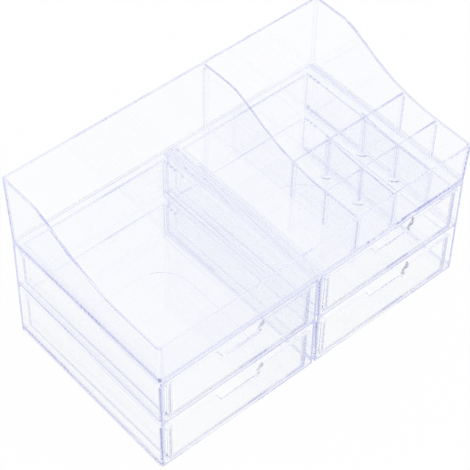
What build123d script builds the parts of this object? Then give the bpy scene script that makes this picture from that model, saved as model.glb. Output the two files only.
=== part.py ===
from build123d import *
from math import radians, tan
import os

# Driving sizes of the clear organizer, in millimetres
overall_width = 304.8
overall_depth = 174.0
cabinet_height = 102.0
tray_back_height = 69.0
tray_front_height = 38.6

# Shared moulding sizes
wall = 2.4
edge_bevel = 0.4
rest_gap = 0.15
overrun = 5.0

# Two cabinets stand side by side, each with two drawer bays
cabinet_gap = 0.4
cabinet_corner = 2.2
roof = 2.4
cabinet_width = (overall_width - cabinet_gap) / 2
cabinet_offset = (cabinet_width + cabinet_gap) / 2
back_wall = 2.2
bay_floor = 2.4
shelf = 2.4
lower_bay_share = 0.524
bay_radius = 5.0
bay_draft = 0.6
bay_width = cabinet_width - 2 * wall
clear_height = cabinet_height - bay_floor - shelf - roof
bay_heights = (clear_height * lower_bay_share, clear_height * (1 - lower_bay_share))
bay_levels = (bay_floor, bay_floor + bay_heights[0] + shelf)
base_recess_inset = 24.0
base_recess_radius = 30.0
base_recess_depth = 0.8

# Drawers: an open box behind a wider front plate with a finger notch
front_margin = 5.0
front_headroom = 4.1
front_width = cabinet_width - 2 * front_margin
front_height = bay_heights[1] - front_headroom
front_thickness = 2.8
front_low_radius = 2.0
front_high_radius = 1.5
front_edge_bevel = 0.8
drawer_side_gap = 5.7
drawer_width = bay_width - 2 * drawer_side_gap
drawer_wall = 2.4
drawer_floor = 2.0
drawer_rear_gap = 1.2
drawer_rear_sweep = 3.2
drawer_side_round = 1.0
drawer_corner_radius = 0.8
drawer_mouth_radius = 3.0
notch_top_width = 46.0
notch_base_width = 33.5
notch_depth = 11.2
notch_round = 3.0

# Tray walls lean outwards, and the side rims fall in an S from back to front
tray_wall = 2.4
tray_floor = 3.0
tray_draft = 1.5
tray_corner = 2.6
tray_base_bevel = 0.8
tray_floor_bevel = 0.8
sweep_back_flat = 29.0
sweep_front_flat = 35.0
sweep_back_reach = 24.0
sweep_front_reach = 66.0

# Drop-in dividers of the tray
divider = 1.8
divider_gap = 0.25
divider_lift = 0.2
rim_drop = 0.5
slot_columns = 3
slot_rows = 2
slot_x_share = 0.123
slot_y_share = 0.205
slot_pitch_x = overall_width * slot_x_share
slot_pitch_y = overall_depth * slot_y_share
lap_gap = 0.3
column_overshoot = 3.2
rib_width = 1.3
rib_proud = 2.0
crossing_rib_proud = 1.2
rib_top_drop = 3.0
pad_radius = 6.0
pad_height = 1.6
pad_gap = 0.4

# Places that follow from the sizes above
front_y = -overall_depth / 2
rear_y = overall_depth / 2
tray_base = cabinet_height + rest_gap
floor_top = tray_base + tray_floor
lean_rate = tan(radians(tray_draft))
partition_x = overall_width / 2 - tray_wall - rib_proud - slot_columns * slot_pitch_x
column_places = [partition_x + slot_pitch_x * i for i in range(1, slot_columns)]
row_places = [front_y + slot_pitch_y * i for i in range(slot_rows, 0, -1)]


def save(shape, node):
    shape.label = node
    export_step(shape, f"parts/{node}.step")


def block(x_range, y_range, z_range):
    """A box between two limits on each axis."""
    size = [high - low for low, high in (x_range, y_range, z_range)]
    middle = [(high + low) / 2 for low, high in (x_range, y_range, z_range)]
    return Pos(*middle) * Box(*size)


def around(middle, width):
    return (middle - width / 2, middle + width / 2)


def bay(level, height):
    """Room for a drawer, a little narrower at the back than at the mouth."""
    rate = tan(radians(bay_draft))
    middle = Pos(0, level + height / 2)
    sections = []
    for y in (front_y - overrun, rear_y - back_wall):
        width = bay_width - 2 * rate * (y - front_y)
        sections.append(Plane.XZ.offset(-y) * middle * RectangleRounded(width, height, bay_radius))
    return loft(sections, ruled=True)


def cabinet():
    """One open-fronted cabinet: a single moulding with two rounded bays."""
    outline = RectangleRounded(cabinet_width, overall_depth, cabinet_corner)
    shell = extrude(outline, cabinet_height)
    flat_edges = shell.edges().filter_by_position(Axis.Z, cabinet_height, cabinet_height)
    flat_edges += shell.edges().filter_by_position(Axis.Z, 0, 0)
    shell = chamfer(flat_edges, edge_bevel)
    for level, height in zip(bay_levels, bay_heights):
        shell -= bay(level, height)
    recess = RectangleRounded(cabinet_width - 2 * base_recess_inset,
                              overall_depth - 2 * base_recess_inset, base_recess_radius)
    return shell - extrude(recess, base_recess_depth)


def drawer_block(width, front, rear, low, height, sweep):
    """A block whose floor sweeps up into the back, with crisp rear corners."""
    length = rear - front
    middle = (front + rear) / 2
    across = Pos(0, height / 2) * Rectangle(width, height)
    across = fillet(across.vertices().group_by(Axis.Y)[0], drawer_side_round)
    along = Pos(middle, height / 2) * Rectangle(length, height)
    along = fillet(along.vertices().group_by(Axis.Y)[0].sort_by(Axis.X)[-1], sweep)
    plan = Pos(0, middle) * Rectangle(width, length)
    plan = fillet(plan.vertices().group_by(Axis.Y)[-1], drawer_corner_radius)
    body = extrude(Plane.XZ.offset(-rear) * across, length) & extrude(plan, height)
    return Pos(0, 0, low) * (body & extrude(Plane.YZ * along, width, both=True))


def finger_notch():
    """Trapezoid cut in the top edge of the front, rounded at its two lower corners."""
    low = front_height - notch_depth
    lean = (notch_top_width - notch_base_width) / 2 * overrun / notch_depth
    high_half = notch_top_width / 2 + lean
    corners = [(-notch_base_width / 2, low), (notch_base_width / 2, low),
               (high_half, front_height + overrun), (-high_half, front_height + overrun)]
    sheet = make_face(Polyline(*corners, close=True))
    sheet = fillet(sheet.vertices().group_by(Axis.Y)[0], notch_round)
    return extrude(Plane.XZ.offset(-front_y) * sheet, front_thickness + overrun, both=True)


def drawer_front():
    """Front plate with a finger notch and softened front edges."""
    sheet = Pos(0, front_height / 2) * Rectangle(front_width, front_height)
    sheet = fillet(sheet.vertices().group_by(Axis.Y)[0], front_low_radius)
    sheet = fillet(sheet.vertices().group_by(Axis.Y)[-1], front_high_radius)
    plate = extrude(Plane.XZ.offset(-front_y) * sheet, -front_thickness) - finger_notch()
    return chamfer(plate.edges().group_by(Axis.Y)[0], front_edge_bevel)


def drawer():
    """A drawer standing on its floor at z = 0, its front flush with the cabinet's."""
    rear = rear_y - back_wall - drawer_rear_gap
    outer = drawer_block(drawer_width, front_y + front_thickness / 2, rear,
                         0, front_height, drawer_rear_sweep)
    hollow = drawer_block(drawer_width - 2 * drawer_wall, front_y + front_thickness, rear - drawer_wall,
                          drawer_floor, front_height, drawer_rear_sweep - drawer_floor)
    upright = hollow.edges().filter_by(Axis.Z).group_by(Axis.Y)[0]
    hollow = fillet(upright, drawer_mouth_radius)
    return outer - hollow - finger_notch() + drawer_front()


def below_rim(drop):
    """Everything under the tray's S-shaped rim line, lowered by drop."""
    high = tray_base + tray_back_height - drop
    low = tray_base + tray_front_height - drop
    ends = (front_y - overall_depth, rear_y + overall_depth)
    start = rear_y - sweep_back_flat
    end = front_y + sweep_front_flat
    curve = Bezier((start, high), (start - sweep_back_reach, high),
                   (end + sweep_front_reach, low), (end, low))
    edges = [Line((ends[1], high), curve @ 0), curve,
             Line(curve @ 1, (ends[0], low)), Line((ends[0], low), (ends[0], 0)),
             Line((ends[0], 0), (ends[1], 0)), Line((ends[1], 0), (ends[1], high))]
    return extrude(Plane.YZ * make_face(edges), overall_width, both=True)


def leaning_sheet(size, base, height):
    """An upright outline that widens upwards by the tray's draft on both sides."""
    low = size / 2
    high = low + height * lean_rate
    corners = [(-low, base), (low, base), (high, base + height), (-high, base + height)]
    return make_face(Polyline(*corners, close=True))


def leaning_block(inset, base, height, radius):
    """A block with leaning sides, inset from the tray's outer walls."""
    spread = 2 * (base - tray_base) * lean_rate - 2 * inset
    wide = leaning_sheet(overall_width + spread, base, height)
    deep = leaning_sheet(overall_depth + spread, base, height)
    across = extrude(Plane.XZ * wide, overall_depth, both=True)
    body = across & extrude(Plane.YZ * deep, overall_width, both=True)
    return fillet(body.edges().group_by(Axis.Z)[1], radius)


def crossing_discs(radius, height):
    """Discs on the tray floor, one at each crossing of the slats."""
    disc = Cylinder(radius, height, align=(Align.CENTER, Align.CENTER, Align.MIN))
    return Part() + [Pos(x, y, floor_top) * disc for x in column_places for y in row_places]


def tray_shell():
    """Open tray with guide ribs for the dividers and pads under the slat crossings."""
    outer = leaning_block(0, tray_base, tray_back_height, tray_corner)
    outer = chamfer(outer.edges().group_by(Axis.Z)[0], tray_base_bevel)
    hollow = leaning_block(tray_wall, floor_top, tray_back_height, tray_corner)
    hollow = chamfer(hollow.edges().group_by(Axis.Z)[0], tray_floor_bevel)
    shell = (outer - hollow) & below_rim(0)
    guides = Part() + rib_blocks() & outer & below_rim(rib_top_drop)
    return shell + guides + crossing_discs(pad_radius, pad_height)


def rib_pair(middle):
    """The two guide ribs either side of a divider's middle plane."""
    apart = divider + 2 * divider_gap + rib_width
    return [around(middle - apart / 2, rib_width), around(middle + apart / 2, rib_width)]


def rib_blocks():
    """Guide ribs on the tray's back, front and right walls."""
    z_range = (tray_base + tray_floor / 2, tray_base + tray_back_height)
    reach = rib_proud + tray_wall
    back = (rear_y - reach, rear_y - tray_wall / 2)
    front = (front_y + tray_wall / 2, front_y + reach)
    right = (overall_width / 2 - reach, overall_width / 2 - tray_wall / 2)
    ribs = [block(x_range, back, z_range) for x_range in rib_pair(partition_x)]
    for x in (partition_x, *column_places):
        ribs += [block(x_range, front, z_range) for x_range in rib_pair(x)]
    for y in row_places:
        ribs += [block(right, y_range, z_range) for y_range in rib_pair(y)]
    return ribs


def divider_room():
    """Space that the dividers may fill, clear of the tray's walls and floor."""
    base = floor_top + divider_lift
    room = leaning_block(tray_wall + divider_gap, base, tray_back_height, tray_corner)
    room = chamfer(room.edges().group_by(Axis.Z)[0], tray_floor_bevel)
    return room & below_rim(rim_drop)


def tray_partition(room):
    """S-topped partition over the whole depth, with ribs that hold the rows' ends."""
    z_range = (tray_base, tray_base + tray_back_height)
    depth = (-overall_depth, overall_depth)
    plate = block(around(partition_x, divider), depth, z_range) & room
    side = (partition_x, partition_x + divider / 2 + rib_proud)
    ribs = Part() + [block(side, y_range, z_range) for y in row_places for y_range in rib_pair(y)]
    return plate + (ribs & room & below_rim(rib_top_drop))


def grid_row(room, y):
    """A slat across the lipstick slots, ribbed and cut from above at each column."""
    left = partition_x + divider / 2 + divider_gap
    z_range = (tray_base, tray_base + tray_back_height)
    slat = block((left, overall_width), around(y, divider), z_range) & room
    middle = (floor_top + slat.bounding_box().max.Z) / 2
    reach = around(y, divider + 2 * crossing_rib_proud)
    ribs = Part() + [block(x_range, reach, z_range) for x in column_places for x_range in rib_pair(x)]
    slat += ribs & room & below_rim(rib_top_drop)
    for x in column_places:
        slat -= block(around(x, divider + lap_gap), around(y, overrun), (middle, z_range[1]))
    return slat - crossing_discs(pad_radius + pad_gap, pad_height + pad_gap)


def grid_column(room, x):
    """A slat from the front wall past the rear row, cut from below at each row."""
    z_range = (tray_base, tray_base + tray_back_height)
    rear = row_places[0] + divider / 2 + column_overshoot
    slat = block(around(x, divider), (-overall_depth, rear), z_range) & room
    for y in row_places:
        row_top = (block(around(x, divider), around(y, divider), z_range) & room).bounding_box().max.Z
        middle = (floor_top + row_top) / 2
        slat -= block(around(x, overrun), around(y, divider + lap_gap), (0, middle + lap_gap))
    return slat - crossing_discs(pad_radius + pad_gap, pad_height + pad_gap)


os.makedirs("parts", exist_ok=True)

shell = cabinet()
box = drawer()
for side, sign in (("left", -1), ("right", 1)):
    place = Pos(sign * cabinet_offset, 0, 0)
    save(place * shell, f"{side}_cabinet")
    for name, level in zip(("lower", "upper"), bay_levels):
        save(place * Pos(0, 0, level + rest_gap) * box, f"{side}_{name}_drawer")

room = divider_room()
save(tray_shell(), "tray_shell")
save(tray_partition(room), "tray_partition")
for name, y in zip(("rear", "front"), row_places):
    save(grid_row(room, y), f"grid_row_{name}")
for name, x in zip(("left", "right"), column_places):
    save(grid_column(room, x), f"grid_column_{name}")
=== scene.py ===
import bpy
from math import cos, radians, sin
from mathutils import Matrix, Vector

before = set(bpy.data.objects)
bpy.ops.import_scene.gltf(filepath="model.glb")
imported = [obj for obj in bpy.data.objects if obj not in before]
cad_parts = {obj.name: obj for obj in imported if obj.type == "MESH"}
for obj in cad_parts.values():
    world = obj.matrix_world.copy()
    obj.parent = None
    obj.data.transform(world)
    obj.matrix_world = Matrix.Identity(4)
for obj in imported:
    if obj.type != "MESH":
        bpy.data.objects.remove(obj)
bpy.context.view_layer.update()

scene = bpy.context.scene
scene.view_settings.view_transform = "Standard"

# Clear layers stand one behind another, so a ray crosses many faces
deep_bounces = 160
scene.cycles.max_bounces = deep_bounces
scene.cycles.transmission_bounces = deep_bounces
scene.cycles.glossy_bounces = deep_bounces
scene.cycles.transparent_max_bounces = 40


# Node trees
class Tree:
    """The node tree of a material or world, built by short calls."""

    def __init__(self, owner):
        owner.use_nodes = True
        owner.node_tree.nodes.clear()
        self.nodes = owner.node_tree.nodes
        self.links = owner.node_tree.links

    def add(self, kind, settings=None, **sockets):
        """New node, with a value or a link for each socket named in the call."""
        node = self.nodes.new(kind)
        for name, value in (settings or {}).items():
            setattr(node, name, value)
        for name, value in sockets.items():
            self.feed(node.inputs[name.replace("_", " ")], value)
        return node

    def feed(self, socket, value):
        if isinstance(value, bpy.types.NodeSocket):
            self.links.new(value, socket)
        else:
            socket.default_value = value

    def math(self, operation, first, second):
        node = self.add("ShaderNodeMath", {"operation": operation})
        self.feed(node.inputs[0], first)
        self.feed(node.inputs[1], second)
        return node.outputs["Value"]

    def spread(self, value, from_range, to_range, curve="LINEAR"):
        """Value carried from one range to another."""
        node = self.add("ShaderNodeMapRange", {"interpolation_type": curve}, Value=value,
                        From_Min=from_range[0], From_Max=from_range[1],
                        To_Min=to_range[0], To_Max=to_range[1])
        return node.outputs["Result"]

    def blend(self, factor, tints):
        """Colour that runs from the first tint to the second."""
        node = self.add("ShaderNodeValToRGB", Fac=factor)
        for stop, tint in zip(node.color_ramp.elements, tints):
            stop.color = (*tint, 1.0)
        return node.outputs["Color"]

    def noise(self, place, scale, detail):
        return self.add("ShaderNodeTexNoise", Vector=place, Scale=scale, Detail=detail).outputs["Fac"]

    def seen_ray(self):
        """1 for a ray that the camera, a mirror image or a clear piece sends out."""
        path = self.add("ShaderNodeLightPath").outputs
        mirrored = self.math("MAXIMUM", path["Is Camera Ray"], path["Is Glossy Ray"])
        return self.math("MAXIMUM", mirrored, path["Is Transmission Ray"])


unit = (0.0, 1.0)

# Clear plastic
water_clear = ((0.996, 0.9975, 1.0), (0.9995, 1.0, 1.0))
faint_violet = ((0.986, 0.989, 1.0), (0.993, 0.995, 1.0))
faint_blue = ((0.994, 0.996, 1.0), (0.999, 0.9995, 1.0))
thick_tint = (0.28, 0.32, 0.76)
# Painted glow: the tint and strength of an even emission inside every clear piece
bulk_glow_tint = (0.80, 0.85, 1.0)
bulk_glow = 0.2
plastic_ior = 1.5
drift_scale = 9.0
grain_scale = 260.0
wave_strength = 0.02
wave_height = 0.001


def clear_plastic(name, surface, density, dullness):
    """Clear moulded polystyrene: polished, faintly wavy, cool where it is thick, with a faint painted
    glow in its bulk.
    """
    material = bpy.data.materials.new(name)
    tree = Tree(material)
    place = tree.add("ShaderNodeTexCoord").outputs["Object"]
    drift = tree.noise(place, drift_scale, 2.0)
    grain = tree.noise(place, grain_scale, 3.0)
    roughness = tree.spread(grain, unit, (0.0, dullness))
    colour = tree.blend(drift, surface)
    wave = tree.add("ShaderNodeBump", Height=drift, Strength=wave_strength, Distance=wave_height)
    shader = tree.add("ShaderNodeBsdfPrincipled", Base_Color=colour, Roughness=roughness,
                      Normal=wave.outputs["Normal"], IOR=plastic_ior, Transmission_Weight=1.0)
    # Long ways inside a piece take up its tint; the bulk also carries a painted glow, an emission that
    # stands in for light diffused inside the plastic
    absorb = tree.add("ShaderNodeVolumeAbsorption", Color=(*thick_tint, 1.0), Density=density)
    painted_glow = tree.add("ShaderNodeEmission", Color=(*bulk_glow_tint, 1.0), Strength=bulk_glow)
    bulk = tree.add("ShaderNodeAddShader")
    tree.feed(bulk.inputs[0], absorb.outputs["Volume"])
    tree.feed(bulk.inputs[1], painted_glow.outputs["Emission"])
    tree.add("ShaderNodeOutputMaterial", Surface=shader.outputs["BSDF"], Volume=bulk.outputs["Shader"])
    return material


divider_plastic = clear_plastic("divider_clear_plastic", faint_blue, density=4.0, dullness=0.025)
plastic_by_kind = {
    "cabinet": clear_plastic("cabinet_clear_plastic", water_clear, density=1.8, dullness=0.025),
    "drawer": clear_plastic("drawer_clear_plastic", water_clear, density=0.6, dullness=0.05),
    "tray_shell": clear_plastic("tray_clear_plastic", faint_violet, density=1.5, dullness=0.025),
    "tray_partition": divider_plastic,
    "grid": divider_plastic,
}
for name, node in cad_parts.items():
    kind = next(key for key in plastic_by_kind if key in name)
    for slot in node.material_slots:
        slot.material = plastic_by_kind[kind]

# Table
table_reach = 6.0
table_drop = 0.0002
table_tints = ((0.91, 0.93, 0.99), (0.94, 0.96, 1.0))
table_grain_scale = 40.0
white_share_straight = 0.985
white_share_mirrored = 0.6


def table_material():
    """White table top that keeps a soft trace of the object's shadow."""
    material = bpy.data.materials.new("white_table")
    tree = Tree(material)
    place = tree.add("ShaderNodeTexCoord").outputs["Object"]
    colour = tree.blend(tree.noise(place, table_grain_scale, 2.0), table_tints)
    matt = tree.add("ShaderNodeBsdfDiffuse", Color=colour)
    white = tree.add("ShaderNodeEmission", Strength=1.0)
    mirrored = tree.add("ShaderNodeLightPath").outputs["Is Reflection Ray"]
    keep = tree.spread(mirrored, unit, (white_share_straight, white_share_mirrored))
    mixed = tree.add("ShaderNodeMixShader")
    tree.feed(mixed.inputs[0], tree.math("MULTIPLY", tree.seen_ray(), keep))
    tree.feed(mixed.inputs[1], matt.outputs["BSDF"])
    tree.feed(mixed.inputs[2], white.outputs["Emission"])
    tree.add("ShaderNodeOutputMaterial", Surface=mixed.outputs["Shader"])
    return material


mesh = bpy.data.meshes.new("table")
signs = ((-1, -1), (1, -1), (1, 1), (-1, 1))
mesh.from_pydata([(table_reach * x, table_reach * y, 0) for x, y in signs], [], [(0, 1, 2, 3)])
mesh.materials.append(table_material())
table = bpy.data.objects.new("table", mesh)
table.location.z = -table_drop
scene.collection.objects.link(table)

# Light tent: white all round, but open on the left to a room that is a dim blue
tent_white = (0.97, 0.975, 1.0)
room_blue = (0.54, 0.56, 0.84)
leftward_range = (0.10, -0.35)
upward_range = (0.05, 0.35)
world = bpy.data.worlds.new("studio")
scene.world = world
sky = Tree(world)
direction = sky.add("ShaderNodeTexCoord").outputs["Generated"]
toward = sky.add("ShaderNodeSeparateXYZ", Vector=direction).outputs
leftward = sky.spread(toward["X"], leftward_range, unit, "SMOOTHSTEP")
upward = sky.spread(toward["Z"], upward_range, unit, "SMOOTHSTEP")
tent_colour = sky.blend(sky.math("MULTIPLY", leftward, upward), (tent_white, room_blue))
tent = sky.add("ShaderNodeBackground", Color=tent_colour, Strength=1.0)
sky.add("ShaderNodeOutputWorld", Surface=tent.outputs["Background"])

# Camera, fitted to the straight edges in the photo
azimuth = radians(-42.16)
elevation = radians(48.23)
roll = radians(1.48)
distance = 1.3704
target = Vector((-0.0098, -0.0033, 0.084))
focal_pixels = 1796.4
photo_pixels = 470
sensor = 36.0
back = Vector((sin(azimuth) * cos(elevation), -cos(azimuth) * cos(elevation), sin(elevation)))
level = Vector((0, 0, 1)).cross(back).normalized()
rise = back.cross(level)
right = cos(roll) * level + sin(roll) * rise
up = cos(roll) * rise - sin(roll) * level
turn = Matrix((right, up, back)).transposed().to_4x4()
camera = bpy.data.objects.new("camera", bpy.data.cameras.new("camera"))
camera.data.sensor_width = sensor
camera.data.lens = focal_pixels / photo_pixels * sensor
camera.data.clip_end = 50.0
camera.matrix_world = Matrix.Translation(target + back * distance) @ turn
scene.collection.objects.link(camera)
scene.camera = camera
